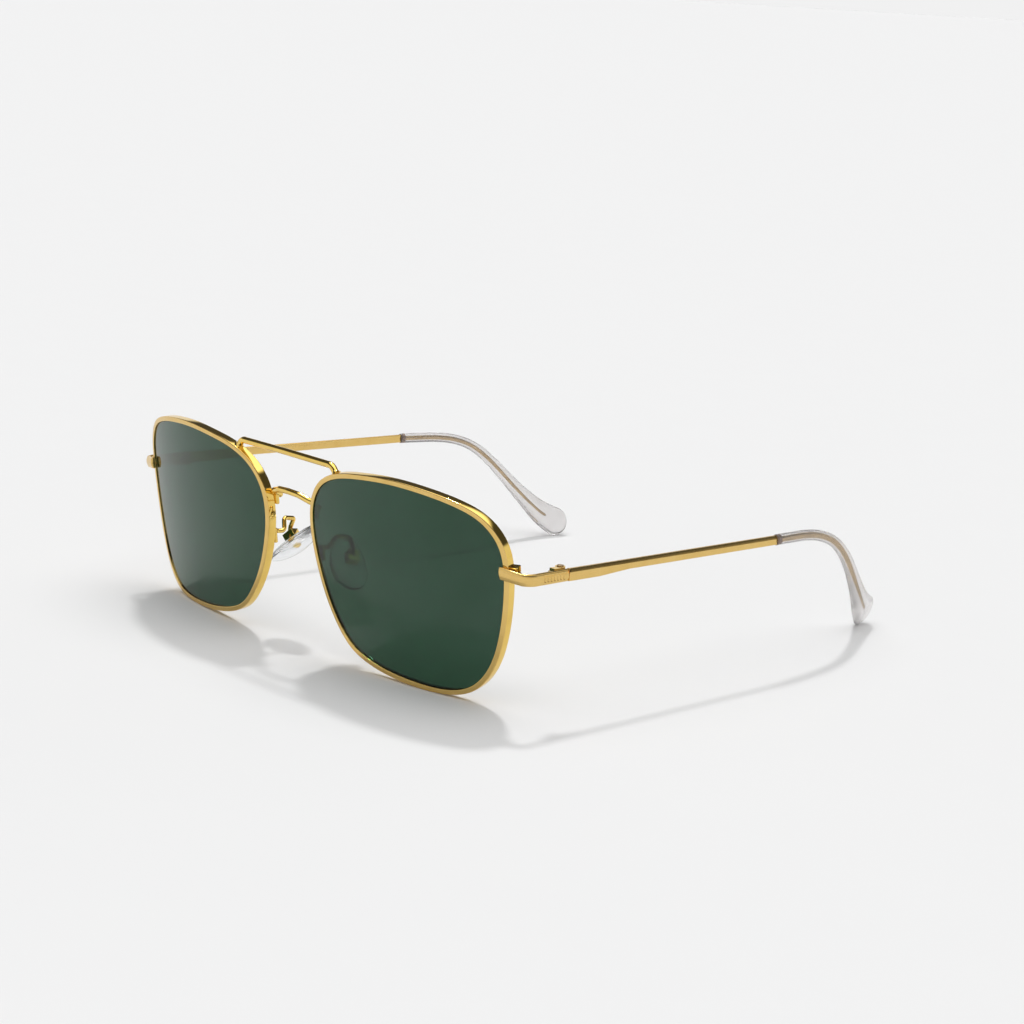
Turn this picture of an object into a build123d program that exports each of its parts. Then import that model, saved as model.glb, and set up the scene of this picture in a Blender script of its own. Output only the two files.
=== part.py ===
from build123d import *
from math import asin, cos, degrees, pi, radians, sin, sqrt
import os

os.makedirs("parts", exist_ok=True)

# Sunglasses with a thin wire frame.  Everything is drawn for the wearer's left side (+X) and mirrored.
# +Z is up, the lenses face -Y and the temples run back along +Y.  The frame stands on its two rim
# bottoms and its two temple ends.  All lengths are in millimetres and all angles in degrees.

# ---------------------------------------------------------------- whole frame
LENS_X = 37.77            # middle of a lens from the plane of symmetry
LENS_Z = 23.70            # middle of a lens above the table
LENS_Y = 4.80             # middle of a lens behind the front datum
FACE_TILT = 8.35          # the top of the front leans forward
FACE_WRAP = 7.33          # the outer end of each lens turns back
FACE_RADIUS = 125.8       # the front surface is a cylinder that runs up and down

# ---------------------------------------------------------------- rim and lens
RIM_WIDTH = 1.20
RIM_DEPTH = 2.10
GROOVE_DEPTH = 0.50
GROOVE_FRONT = 0.92
GROOVE_REAR = 1.62
LENS_FRONT = 0.35
LENS_REAR = 1.95
LENS_BEVEL = 0.42
LENS_PLAY = 0.05
SLIT_HEIGHT = 0.24        # the rim is cut here, between the two closing blocks
SLIT_Y = 6.7
OUTLINE_STEPS = 44
# Lens opening seen from the front: x outwards, y up, from the middle of the lens.
OPENING = [
    (28.67, 0.0), (29.16, 6.06), (28.35, 12.34), (24.51, 17.45), (18.54, 20.24), (9.8, 22.05),
    (0.0, 22.86), (-10.0, 22.35), (-18.63, 20.72), (-24.22, 17.67), (-27.65, 12.39), (-28.25, 6.04),
    (-27.15, 0.0), (-25.35, -5.42), (-20.0, -14.57), (-16.29, -18.09), (-11.67, -20.16),
    (0.0, -22.35), (7.52, -22.86), (13.26, -22.63), (19.15, -20.9), (23.5, -16.74), (27.0, -8.6),
]

# ---------------------------------------------------------------- closing blocks
BLOCK_X = 31.15
BLOCK_WIDTH = 2.1
BLOCK_DEPTH = 2.35
BLOCK_LIFT = -1.60
BLOCK_HEIGHT = 1.30
BLOCK_SCREW_R = 0.42
BLOCK_SCREW_SHIFT = 0.28
BLOCK_SCREW_HEAD_R = 0.72

# ---------------------------------------------------------------- end piece strip and side line
STRIP_THICK = 1.10
STRIP_START = (28.55, 7.2)             # nasal end on the front face, x and y from the lens middle
STRIP_TURN_R = 3.0
STRIP_TOP = [(60.0, 34.05), (70.8, 32.2), (80.0, 32.2)]       # x, z of the upper edge
STRIP_LOW = [(60.0, 30.95), (70.8, 29.45), (80.0, 29.45)]     # x, z of the lower edge
SEAM = Vector(72.15, 24.4, 30.82)      # middle of the joint face between strip and temple
SIDE_TURN = 1.94                       # the side line runs inwards towards the back
SIDE_DROP = 0.66                       # and slightly down
SEAM_GAP = 0.08
PANEL_Y = (-7.6, -0.9)                 # shallow recessed panel on the outside of the strip
PANEL_HALF_HEIGHT = 0.75
PANEL_DEPTH = 0.14

# ---------------------------------------------------------------- hinge, measured from the seam
PIVOT_X = -2.05                        # inwards from the middle of the strip
PIVOT_Y = -0.45
KNUCKLE_R = 1.12
KNUCKLE_HEIGHTS = [(-1.50, -0.56), (-0.50, 0.52), (0.58, 1.60)]
HINGE_PIN_R = 0.45
HINGE_HOLE_R = 0.50
HINGE_HEAD_R = 0.80
HINGE_HEAD_HEIGHT = 0.22
LEAF_THICK = 0.70
FRONT_LEAF_Y = (-4.9, -1.90)
REAR_LEAF_Y = (1.10, 5.8)

# ---------------------------------------------------------------- temple
TEMPLE_THICK = 1.20
TEMPLE_TOP = 1.375                     # top edge above the seam middle
TEMPLE_HINGE_HEIGHT = 2.75
TEMPLE_HEIGHT = 2.15
FLARE_START = 9.5
FLARE_END = 19.0
TEMPLE_LENGTH = 69.75
# Stations of the ear tip: x, y, z, height, thickness, twist.
TIP_STATIONS = [
    (69.78, 93.95, 30.33, 2.65, 2.25, 0),
    (69.15, 100.6, 30.15, 2.65, 2.35, 0),
    (68.35, 107.4, 29.75, 2.65, 2.40, 0),
    (67.70, 113.2, 28.70, 2.75, 2.45, 0),
    (67.10, 118.5, 26.60, 2.85, 2.55, 2),
    (66.25, 123.1, 23.40, 3.10, 2.65, 5),
    (65.00, 127.6, 19.10, 3.40, 2.75, 9),
    (63.30, 132.2, 14.10, 4.15, 2.85, 14),
    (61.40, 136.6, 9.50, 5.50, 2.95, 18),
    (59.40, 140.6, 5.90, 7.30, 2.95, 21),
    (57.85, 143.6, 3.95, 8.20, 2.85, 22),
]
TIP_CAP_LENGTH = 3.8
CORE_LAST = 9                          # the wire core ends at this station
CORE_START = (1.30, 0.95)
CORE_END = (1.05, 0.80)

# ---------------------------------------------------------------- bridge wires
BAR_R = 0.80
BAR_TURN_R = 2.0
BAR_POINTS = [(0.0, 2.0, 46.95), (17.1, 2.0, 46.85)]
BAR_END = (20.3, 2.25, 43.2)
BAR_SEAT_X = -19.0                     # where the bar lands, measured from the lens middle
ARCH_R = 0.75
ARCH_TURN_R = 1.8
ARCH_POINTS = [(0.0, 3.05, 37.55), (3.7, 3.25, 37.35), (7.1, 4.1, 36.35)]
ARCH_END = (8.15, 6.8, 34.9)
FOOT_SPOT = (-28.95, 10.6)
FOOT_SIZE = (2.1, 3.5, 0.85)

# ---------------------------------------------------------------- nose pads
ARM_R = 0.55
ARM_TURN_R = 0.9
ARM_FOOT_SPOT = (-27.45, 0.8)
ARM_FOOT_SIZE = (1.8, 3.6, 0.8)
ARM_POINTS = [(9.1, 9.2, 25.7), (10.5, 10.0, 28.5), (11.1, 13.4, 27.9), (12.5, 13.55, 25.5)]
PAD_CENTRE = Vector(10.2, 13.8, 21.6)
PAD_FACE = Vector(-0.70, 0.06, -0.71)  # towards the nose
PAD_LONG = Vector(-0.70, 0.32, 0.64)   # up along the pad
PAD_LENGTH = 15.4
PAD_WIDTH = 9.0
PAD_BACK = -0.85
PAD_FRONT = 0.95
PAD_DOME_R = 24.0
PAD_PIN_Z = -2.45
BOX_TOP = -1.65
BOX_FLOOR = -3.30
BOX_BOTTOM = -3.65
BOX_CAVITY = (1.90, 2.30)
BOX_WALL = 0.40
INSERT_SIZE = (1.70, 1.20)
INSERT_SEAT = -0.25                    # how deep the insert sits in the pad
PAD_PIN_R = 0.30
PAD_HOLE_R = 0.36
PAD_PIN_HEAD_R = 0.52


def front_plane():
    """Plane at the middle of the left lens: x outwards, y up the lens, z forwards."""
    tilt = radians(FACE_TILT)
    wrap = radians(FACE_WRAP)
    outward = Vector(cos(wrap), sin(wrap) * cos(tilt), sin(wrap) * sin(tilt))
    forward = Vector(sin(wrap), -cos(wrap) * cos(tilt), -cos(wrap) * sin(tilt))
    return Plane(origin=(LENS_X, LENS_Y, LENS_Z), x_dir=outward, z_dir=forward)


FRONT = front_plane()


def face_spot(x, y, lift):
    """Location on the curved front surface at x, y, raised forwards by lift, square to the surface."""
    turn = degrees(asin(x / FACE_RADIUS))
    return (FRONT.location * Location((0, y, -FACE_RADIUS)) * Location((0, 0, 0), (0, turn, 0))
            * Location((0, 0, FACE_RADIUS + lift)))


def side_plane():
    """Plane at the seam: x outwards, y back along the temple, z up."""
    turn = radians(SIDE_TURN)
    drop = radians(SIDE_DROP)
    back = Vector(-sin(turn) * cos(drop), cos(turn) * cos(drop), -sin(drop))
    outward = Vector(cos(turn), sin(turn), 0)
    return Plane(origin=SEAM, x_dir=outward, z_dir=outward.cross(back))


SIDE = side_plane()


def on_side(shape):
    """Move a shape drawn at the seam to its place on the left side."""
    return SIDE.location * shape


def side_box(x_range, y_range, z_range):
    """Box between limits measured at the seam."""
    sizes = [b - a for a, b in (x_range, y_range, z_range)]
    middle = [(a + b) / 2 for a, b in (x_range, y_range, z_range)]
    return Location(tuple(middle)) * Box(*sizes)


def upright(radius, low, high):
    """Cylinder on the hinge axis between two heights."""
    return Location((PIVOT_X, PIVOT_Y, (low + high) / 2)) * Cylinder(radius, high - low)


def opening_face(grow):
    """Lens outline, grown outwards by a given amount."""
    outline = Spline(*OPENING, periodic=True)
    points = []
    for step in range(OUTLINE_STEPS):
        place = outline @ (step / OUTLINE_STEPS)
        way = outline % (step / OUTLINE_STEPS)
        points.append(place + Vector(-way.Y, way.X, 0) * -grow)
    return make_face(Spline(*points, periodic=True))


def prism(grow):
    """Tall straight block with the lens outline."""
    return Location((0, 0, -9)) * extrude(opening_face(grow), 12)


def shell(front, rear):
    """Curved layer between two depths behind the front surface."""
    outer = Cylinder(FACE_RADIUS - front, 70, rotation=(90, 0, 0))
    inner = Cylinder(FACE_RADIUS - rear, 72, rotation=(90, 0, 0))
    window = Location((0, 0, -4)) * Box(80, 66, 14)
    return (Location((0, 0, -FACE_RADIUS)) * (outer - inner)) & window


def bent_run(points, turn_radius):
    """Straight pieces through the points, joined by arcs of one radius."""
    corners = [Vector(*p) for p in points]
    pieces = []
    at = corners[0]
    for before, corner, after in zip(corners, corners[1:], corners[2:]):
        way_in = (corner - before).normalized()
        way_out = (after - corner).normalized()
        half_turn = sqrt((1 - way_in.dot(way_out)) / 2)
        half_cos = sqrt(1 - half_turn * half_turn)
        reach = turn_radius * half_turn / half_cos
        start = corner - way_in * reach
        end = corner + way_out * reach
        bulge = (way_out - way_in).normalized() * (turn_radius / half_cos - turn_radius)
        pieces.append(Line(at, start))
        pieces.append(ThreePointArc(start, corner + bulge, end))
        at = end
    pieces.append(Line(at, corners[-1]))
    return Wire(pieces)


def bent_wire(points, radius, turn_radius):
    """Round wire along a bent run."""
    run = bent_run(points, turn_radius)
    section = Plane(origin=run @ 0, z_dir=run % 0) * Circle(radius)
    return sweep(section, path=run)


def mirrored(points):
    """Points of the left half, joined to their mirror images."""
    right = [(-x, y, z) for x, y, z in reversed(points) if x > 0]
    return right + list(points)


# ================================================================ rim and lens
def make_rim():
    ring = (prism(RIM_WIDTH) - prism(0)) & shell(0, RIM_DEPTH)
    groove = prism(GROOVE_DEPTH) & shell(GROOVE_FRONT, GROOVE_REAR)
    return ring - groove


def make_lens():
    plate = prism(-LENS_PLAY) & shell(LENS_FRONT, LENS_REAR)
    bevel = prism(LENS_BEVEL) & shell(GROOVE_FRONT + LENS_PLAY, GROOVE_REAR - LENS_PLAY)
    return plate + bevel


rim_local = make_rim()
lens_local = make_lens()
slit = Location((30, SLIT_Y, -4)) * Box(6, SLIT_HEIGHT, 8)
rim = FRONT.location * (rim_local - slit)
lens = FRONT.location * lens_local
rim_solid = FRONT.location * (prism(RIM_WIDTH) & shell(0, RIM_DEPTH))


# ================================================================ closing blocks and their screw
def closing_block(direction):
    """Half of the rim lock: direction is +1 above the slit and -1 below it."""
    middle = SLIT_Y + direction * (SLIT_HEIGHT + BLOCK_HEIGHT) / 2
    body = Box(BLOCK_WIDTH, BLOCK_HEIGHT, BLOCK_DEPTH)
    outer = body.edges().filter_by(Axis.Y).group_by(Axis.X)[-1]
    body = fillet(outer, 0.45)
    return face_spot(BLOCK_X, middle, BLOCK_LIFT) * body


def along_block(radius, low, high):
    """Cylinder on the axis of the closing screw."""
    rod = Cylinder(radius, high - low, rotation=(90, 0, 0))
    return face_spot(BLOCK_X + BLOCK_SCREW_SHIFT, SLIT_Y + (low + high) / 2, BLOCK_LIFT) * rod


block_end = SLIT_HEIGHT / 2 + BLOCK_HEIGHT
rim_screw = along_block(BLOCK_SCREW_R, -block_end, block_end - 0.5)
rim_screw += along_block(BLOCK_SCREW_HEAD_R, block_end - 0.5, block_end - 0.02)
slot = face_spot(BLOCK_X + BLOCK_SCREW_SHIFT, SLIT_Y + block_end, BLOCK_LIFT) * Box(2.0, 0.4, 0.22)
block_upper = closing_block(1) - rim_solid - rim_screw
block_lower = closing_block(-1) - rim_solid - rim_screw
rim_screw = rim_screw - slot


# ================================================================ end piece strip
def flat_of(vector):
    """Direction in the lens plane's own x and z, seen along the lens height."""
    x = vector.dot(FRONT.x_dir)
    z = vector.dot(FRONT.z_dir)
    size = sqrt(x * x + z * z)
    return x / size, z / size


def make_strip():
    """Strip that leaves the rim's front face, turns the corner and ends at the seam."""
    turn = asin(STRIP_START[0] / FACE_RADIUS)
    start = (FACE_RADIUS * sin(turn), FACE_RADIUS * cos(turn) - FACE_RADIUS)
    out = (cos(turn), -sin(turn))
    back = flat_of(SIDE.y_dir)
    seam = SEAM - FRONT.origin
    end = (seam.dot(FRONT.x_dir) + 4 * back[0], seam.dot(FRONT.z_dir) + 4 * back[1])
    raised = (start[0] + out[1] * -0.01, start[1] + 0.01)
    inner_end = (end[0] + back[1] * STRIP_THICK / 2, end[1] - back[0] * STRIP_THICK / 2)
    outer_end = (end[0] - back[1] * STRIP_THICK / 2, end[1] + back[0] * STRIP_THICK / 2)
    outer_start = (raised[0] - out[1] * STRIP_THICK, raised[1] + out[0] * STRIP_THICK)

    def crossing(first, way, second, other):
        det = way[0] * -other[1] + other[0] * way[1]
        dx = second[0] - first[0]
        dy = second[1] - first[1]
        run = (dx * -other[1] + other[0] * dy) / det
        return first[0] + way[0] * run, first[1] + way[1] * run

    inner_corner = crossing(raised, out, inner_end, back)
    outer_corner = crossing(outer_start, out, outer_end, back)
    plan = Plane(origin=FRONT.origin, x_dir=FRONT.x_dir, z_dir=FRONT.x_dir.cross(FRONT.z_dir))
    loop = [raised, inner_corner, inner_end, outer_end, outer_corner, outer_start, raised]
    face = make_face(Polyline(*loop))
    body = Location((0, 0, -30)) * extrude(face, 60)
    corners = body.edges().filter_by(Axis.Z)
    inner_edge = corners.sort_by_distance((inner_corner[0], inner_corner[1], 0))[0]
    body = fillet([inner_edge], STRIP_TURN_R - STRIP_THICK / 2)
    corners = body.edges().filter_by(Axis.Z)
    outer_edge = corners.sort_by_distance((outer_corner[0], outer_corner[1], 0))[0]
    body = fillet([outer_edge], STRIP_TURN_R + STRIP_THICK / 2)
    body = plan.location * body
    outline = Polyline(*STRIP_LOW, *reversed(STRIP_TOP), STRIP_LOW[0])
    view = Plane(origin=(0, -5, 0), x_dir=(1, 0, 0), z_dir=(0, -1, 0))
    window = extrude(view * make_face(outline), -40)
    body = body & window
    behind = side_box((-20, 20), (-SEAM_GAP, 30), (-20, 20))
    body = body - on_side(behind)
    panel_x = (STRIP_THICK / 2 - PANEL_DEPTH, STRIP_THICK / 2 + 1)
    panel = side_box(panel_x, PANEL_Y, (-PANEL_HALF_HEIGHT, PANEL_HALF_HEIGHT))
    return body - on_side(panel)


strip = make_strip()

# ================================================================ hinge
strip_inner = -STRIP_THICK / 2
temple_inner = -TEMPLE_THICK / 2
hinge_low = KNUCKLE_HEIGHTS[0][0]
hinge_high = KNUCKLE_HEIGHTS[-1][1]
hinge_front = side_box((strip_inner - LEAF_THICK, strip_inner), FRONT_LEAF_Y, (-1.25, 1.25))
for low, high in (KNUCKLE_HEIGHTS[0], KNUCKLE_HEIGHTS[-1]):
    hinge_front += upright(KNUCKLE_R, low, high)
    hinge_front += side_box((PIVOT_X, strip_inner), (FRONT_LEAF_Y[0] + 1.2, PIVOT_Y), (low, high))
rear_low, rear_high = KNUCKLE_HEIGHTS[1]
hinge_rear = upright(KNUCKLE_R, rear_low, rear_high)
hinge_rear += side_box((PIVOT_X, temple_inner), (PIVOT_Y, REAR_LEAF_Y[0] + 1.0), (rear_low, rear_high))
hinge_rear += side_box((temple_inner - LEAF_THICK, temple_inner), REAR_LEAF_Y, (-1.1, 1.1))
hinge_rear -= side_box((temple_inner, 5), (-5, 9), (-5, 5))
hinge_screw = upright(HINGE_PIN_R, hinge_low + 0.1, hinge_high)
hinge_screw += upright(HINGE_HEAD_R, hinge_high, hinge_high + HINGE_HEAD_HEIGHT)
hinge_screw -= Location((PIVOT_X, PIVOT_Y, hinge_high + HINGE_HEAD_HEIGHT)) * Box(2.0, 0.24, 0.28)
hinge_front -= upright(HINGE_PIN_R, hinge_low + 0.1, hinge_high)
hinge_rear -= upright(HINGE_HOLE_R, hinge_low, hinge_high)


# ================================================================ temple and ear tip
def temple_bar():
    """Flat bar, taller at the hinge, with softened upper edges."""
    low = TEMPLE_TOP - TEMPLE_HINGE_HEIGHT
    thin = TEMPLE_TOP - TEMPLE_HEIGHT
    outline = Polyline(
        (0, TEMPLE_TOP), (TEMPLE_LENGTH, TEMPLE_TOP), (TEMPLE_LENGTH, thin), (FLARE_END, thin),
        (FLARE_START, low), (0, low), (0, TEMPLE_TOP),
    )
    side_view = Plane(origin=(-TEMPLE_THICK / 2, 0, 0), x_dir=(0, 1, 0), z_dir=(1, 0, 0))
    bar = extrude(side_view * make_face(outline), TEMPLE_THICK)
    return chamfer(bar.edges().filter_by(Axis.Y).group_by(Axis.Z)[-1], 0.22)


tip_points = [s[:3] for s in TIP_STATIONS]


def station_plane(index):
    """Plane square to the tip's run at a station: x across the thickness, y along its height."""
    before = Vector(*tip_points[max(index - 1, 0)])
    after = Vector(*tip_points[min(index + 1, len(tip_points) - 1)])
    way = (after - before).normalized()
    level = way.cross(Vector(0, 0, 1)).normalized()
    rise = level.cross(way)
    twist = radians(TIP_STATIONS[index][5])
    across = level * cos(twist) - rise * sin(twist)
    return Plane(origin=tip_points[index], x_dir=across, z_dir=way)


tip_planes = [station_plane(i) for i in range(len(tip_points))]


def tip_body():
    sections = [plane * Ellipse(s[4] / 2, s[3] / 2) for plane, s in zip(tip_planes, TIP_STATIONS)]
    return loft(sections)


def tip_cap():
    half_height = TIP_STATIONS[-1][3] / 2
    half_thick = TIP_STATIONS[-1][4] / 2
    ball = scale(Sphere(1), by=(half_thick, half_height, TIP_CAP_LENGTH))
    half = ball & (Location((0, 0, 10)) * Box(20, 20, 20))
    return tip_planes[-1].location * half


def core_body():
    sections = []
    for i in range(CORE_LAST + 1):
        share = i / CORE_LAST
        high = CORE_START[0] + (CORE_END[0] - CORE_START[0]) * share
        wide = CORE_START[1] + (CORE_END[1] - CORE_START[1]) * share
        sections.append(tip_planes[i] * Ellipse(wide / 2, high / 2))
    return loft(sections)


bar = on_side(temple_bar())
core = core_body()
temple = bar + core
tip = tip_body() + tip_cap() - core - bar

# ================================================================ bridge wires
brow_bar = bent_wire(mirrored(BAR_POINTS + [BAR_END]), BAR_R, BAR_TURN_R)
arch = bent_wire(mirrored(ARCH_POINTS + [ARCH_END]), ARCH_R, ARCH_TURN_R)
foot = face_spot(*FOOT_SPOT, -RIM_DEPTH - FOOT_SIZE[2] / 2) * Box(*FOOT_SIZE)


def seat_cutter(x):
    """Block below the rim's outer edge near x, measured on the upper part of the lens outline."""
    outline = Spline(*OPENING, periodic=True)
    share = min((abs((outline @ (k / 400)).X - x) + 60 * ((outline @ (k / 400)).Y < 0), k / 400)
                for k in range(400))[1]
    place = outline @ share
    way = outline % share
    outwards = Vector(-way.Y, way.X, 0)
    if outwards.dot(Vector(place.X, place.Y, 0)) < 0:
        outwards = outwards * -1
    surface = Plane(origin=place + outwards * RIM_WIDTH, x_dir=way, z_dir=outwards)
    block = Location((0, 0, -5)) * Box(12, 24, 10)
    return FRONT.location * (Location((0, 0, -place.X ** 2 / (2 * FACE_RADIUS))) * (surface.location * block))


cutter = seat_cutter(BAR_SEAT_X)
brow_bar = brow_bar - cutter - mirror(cutter, about=Plane.YZ)
foot_cutter = face_spot(FOOT_SPOT[0] + 2.6, FOOT_SPOT[1], 5 - RIM_DEPTH) * Box(6, 12, 10)
nose_bridge = arch + foot + mirror(foot, about=Plane.YZ)
nose_bridge = nose_bridge - foot_cutter - mirror(foot_cutter, about=Plane.YZ)

# ================================================================ nose pad group
pad_z = PAD_FACE.normalized()
pad_up = (PAD_LONG - pad_z * PAD_LONG.dot(pad_z)).normalized()
PAD = Plane(origin=PAD_CENTRE, x_dir=pad_up.cross(pad_z), z_dir=pad_z)


def pad_outline():
    """Rounded drop, a little narrower at the top."""
    points = []
    for step in range(12):
        angle = 2 * pi * step / 12
        narrowing = 1 - 0.16 * cos(angle)
        points.append((PAD_WIDTH / 2 * sin(angle) * narrowing, PAD_LENGTH / 2 * cos(angle)))
    return make_face(Spline(*points, periodic=True))


def box_between(width, depth, low, high):
    """Block on the pad's axis between two depths."""
    return Location((0, 0, (low + high) / 2)) * Box(width, depth, high - low)


def across_pad(radius, low, high):
    """Cylinder along the rocking axis."""
    rod = Cylinder(radius, high - low, rotation=(0, 90, 0))
    return Location(((low + high) / 2, 0, PAD_PIN_Z)) * rod


box_width = BOX_CAVITY[0] + 2 * BOX_WALL
box_depth = BOX_CAVITY[1] + 2 * BOX_WALL
slab = Location((0, 0, PAD_BACK)) * extrude(pad_outline(), PAD_FRONT - PAD_BACK)
dome = Location((0, 0, PAD_FRONT - PAD_DOME_R)) * Sphere(PAD_DOME_R)
insert = box_between(*INSERT_SIZE, PAD_PIN_Z, INSERT_SEAT)
insert += across_pad(INSERT_SIZE[1] / 2, -INSERT_SIZE[0] / 2, INSERT_SIZE[0] / 2)
pad = (slab & dome) - insert
insert -= across_pad(PAD_HOLE_R, -3, 3)
pin_end = box_width / 2
pad_screw = across_pad(PAD_PIN_R, -pin_end, pin_end) + across_pad(PAD_PIN_HEAD_R, pin_end, pin_end + 0.3)
pad_box = box_between(box_width, box_depth, BOX_BOTTOM, BOX_TOP)
pad_box -= box_between(*BOX_CAVITY, BOX_FLOOR, BOX_TOP + 1)
pad_box -= across_pad(PAD_PIN_R, -pin_end, pin_end)
pad, insert, pad_screw, pad_box = [PAD.location * item for item in (pad, insert, pad_screw, pad_box)]

box_end = PAD_CENTRE + pad_z * BOX_BOTTOM
arm_foot = face_spot(*ARM_FOOT_SPOT, -RIM_DEPTH - ARM_FOOT_SIZE[2] / 2) * Box(*ARM_FOOT_SIZE)
arm_start = face_spot(ARM_FOOT_SPOT[0], ARM_FOOT_SPOT[1] + 1.0, -RIM_DEPTH - 0.4).position
arm_points = [tuple(arm_start), *ARM_POINTS, tuple(box_end + pad_z * 0.5)]
pad_arm = arm_foot + bent_wire(arm_points, ARM_R, ARM_TURN_R)
pad_arm = pad_arm - face_spot(*ARM_FOOT_SPOT, 5 - RIM_DEPTH) * Box(9, 12, 10)
pad_arm = pad_arm - PAD.location * box_between(8, 8, BOX_BOTTOM, 5)

# ================================================================ names, place and export
left_pieces = {
    "rim": rim,
    "lens": lens,
    "closing_block_upper": block_upper,
    "closing_block_lower": block_lower,
    "rim_screw": rim_screw,
    "end_piece": strip,
    "hinge_front": on_side(hinge_front) - strip,
    "hinge_rear": on_side(hinge_rear),
    "hinge_screw": on_side(hinge_screw),
    "temple": temple,
    "ear_tip": tip,
    "pad_arm": pad_arm,
    "pad_box": pad_box,
    "pad_screw": pad_screw,
    "pad_insert": insert,
    "nose_pad": pad,
}
pieces = {"brow_bar": brow_bar, "nose_bridge": nose_bridge}
for name, piece in left_pieces.items():
    pieces["left_" + name] = piece
    pieces["right_" + name] = mirror(piece, about=Plane.YZ)

boxes = [piece.bounding_box() for piece in pieces.values()]
front_y = min(box.min.Y for box in boxes)
back_y = max(box.max.Y for box in boxes)
table_z = min(box.min.Z for box in boxes)
place = Location((0, -(front_y + back_y) / 2, -table_z))
print("moved by", tuple(place.position))
for name, piece in pieces.items():
    export_step(place * piece, f"parts/{name}.step")
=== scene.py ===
"""Gold wire sunglasses with green lenses, clear ear tips and clear nose pads on a pale table.

Every curve is drawn for the wearer's left side in millimetres and mirrored for the right side.
Millimetres become metres, and the drawing's datum moves to the row frame, in one place: to_row().
"""
import math

import bmesh
import bpy
import numpy as np
from mathutils import Matrix, Vector


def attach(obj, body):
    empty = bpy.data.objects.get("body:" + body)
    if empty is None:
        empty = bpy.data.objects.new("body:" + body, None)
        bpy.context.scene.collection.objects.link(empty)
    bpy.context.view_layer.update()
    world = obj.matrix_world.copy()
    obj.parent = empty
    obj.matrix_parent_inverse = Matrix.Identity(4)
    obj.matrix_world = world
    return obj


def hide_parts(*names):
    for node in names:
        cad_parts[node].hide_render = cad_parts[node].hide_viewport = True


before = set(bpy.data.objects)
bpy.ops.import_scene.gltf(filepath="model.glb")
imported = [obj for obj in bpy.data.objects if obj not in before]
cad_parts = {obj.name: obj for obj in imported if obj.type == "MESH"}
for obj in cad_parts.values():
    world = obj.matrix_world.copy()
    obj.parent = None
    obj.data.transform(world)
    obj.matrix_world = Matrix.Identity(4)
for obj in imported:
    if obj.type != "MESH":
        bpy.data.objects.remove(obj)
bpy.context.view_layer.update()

# ------------------------------------------------------------------ dimensions, millimetres and degrees
# Drawing datum in the row frame, and the front surface: one sphere, tilted back and wrapped round the face.
ROW_SHIFT = np.array([0.0, -73.92339, -0.06387])
LENS_MIDDLE = np.array([37.77, 4.80, 23.70])
FACE_TILT = math.radians(8.35)
FACE_WRAP = math.radians(7.33)
FACE_RADIUS = 125.8

# Lens opening, from the outer side over the top, as x outwards and y up from the lens middle.
OPENING = [
    (28.67, 0.0), (29.16, 6.06), (28.35, 12.34), (24.51, 17.45), (18.54, 20.24), (9.8, 22.05),
    (0.0, 22.86), (-10.0, 22.35), (-18.63, 20.72), (-24.22, 17.67), (-27.65, 12.39), (-28.25, 6.04),
    (-27.15, 0.0), (-25.35, -5.42), (-20.0, -14.57), (-16.29, -18.09), (-11.67, -20.16),
    (0.0, -22.35), (7.52, -22.86), (13.26, -22.63), (19.15, -20.9), (23.5, -16.74), (27.0, -8.6),
]
OUTLINE_STEPS = 520
OUTER_SIDE_X = 20

# Rims, satin down to FRONT_FACE_DEPTH and polished behind it. The lens groove lies between two depths,
# and a slit on the outer side lets the rim open.
RIM_WIDTH = 1.20
RIM_DEPTH = 2.10
RIM_INNER_ROUND = 0.16
RIM_OUTER_ROUND = 0.26
FRONT_FACE_DEPTH = 0.2
GROOVE = (0.92, 1.62)
GROOVE_DEPTH = 0.50
GROOVE_MOUTH_ROUND = 0.05
GROOVE_FLOOR_ROUND = 0.08
SLIT_Y = 6.7
SLIT_HEIGHT = 0.24
SLIT_MARGIN = 0.05

# Lenses: front and back depths, the bevel that sits in the groove and the softened edges.
LENS_DEPTHS = (0.35, 1.95)
LENS_BEVEL = 0.42
LENS_PLAY = 0.05
LENS_SOFT = 0.14
LENS_SHARES = (0.03, 0.995)
LENS_RINGS = 24

# End pieces: a flat strip with a crowned outside, and a ribbed panel sunk into its side.
STRIP_THICK = 1.10
STRIP_START_X = 28.55
STRIP_GAP = 0.01
STRIP_TURN_R = 3.0
STRIP_SPACING = 0.06
STRIP_TOP = [(60.0, 34.05), (70.8, 32.2), (80.0, 32.2)]
STRIP_LOW = [(60.0, 30.95), (70.8, 29.45), (80.0, 29.45)]
STRIP_ROUND = 0.24
STRIP_CROWN = 0.27
END_SOFT = 0.35
SEAM_SOFT = 0.12
FACE_ROWS = 41
HEIGHT_PASSES = 4
PANEL_Y = (-7.6, -0.9)
PANEL_HALF_HEIGHT = 0.75
PANEL_DEPTH = 0.17
PANEL_BLEND = 0.07
PANEL_RIB = 0.96
RIB_HEIGHT = 0.15

# Seam between end piece and temple, and the way the temple runs back from it.
SEAM = np.array([72.15, 24.4, 30.82])
SEAM_GAP = 0.08
SIDE_TURN = math.radians(1.94)
SIDE_DROP = math.radians(0.66)

# Temple bars, deeper near the hinge; the outer bevel is given as width and height.
TEMPLE_THICK = 1.20
TEMPLE_TOP = 1.375
TEMPLE_HEIGHTS = (2.75, 2.15)
FLARE = (9.5, 19.0)
TEMPLE_LENGTH = 69.75
TEMPLE_STEPS = 150
TEMPLE_SOFT = 0.22
BEVEL = (0.38, 0.78)
INNER_BEVEL = 0.18

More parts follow.
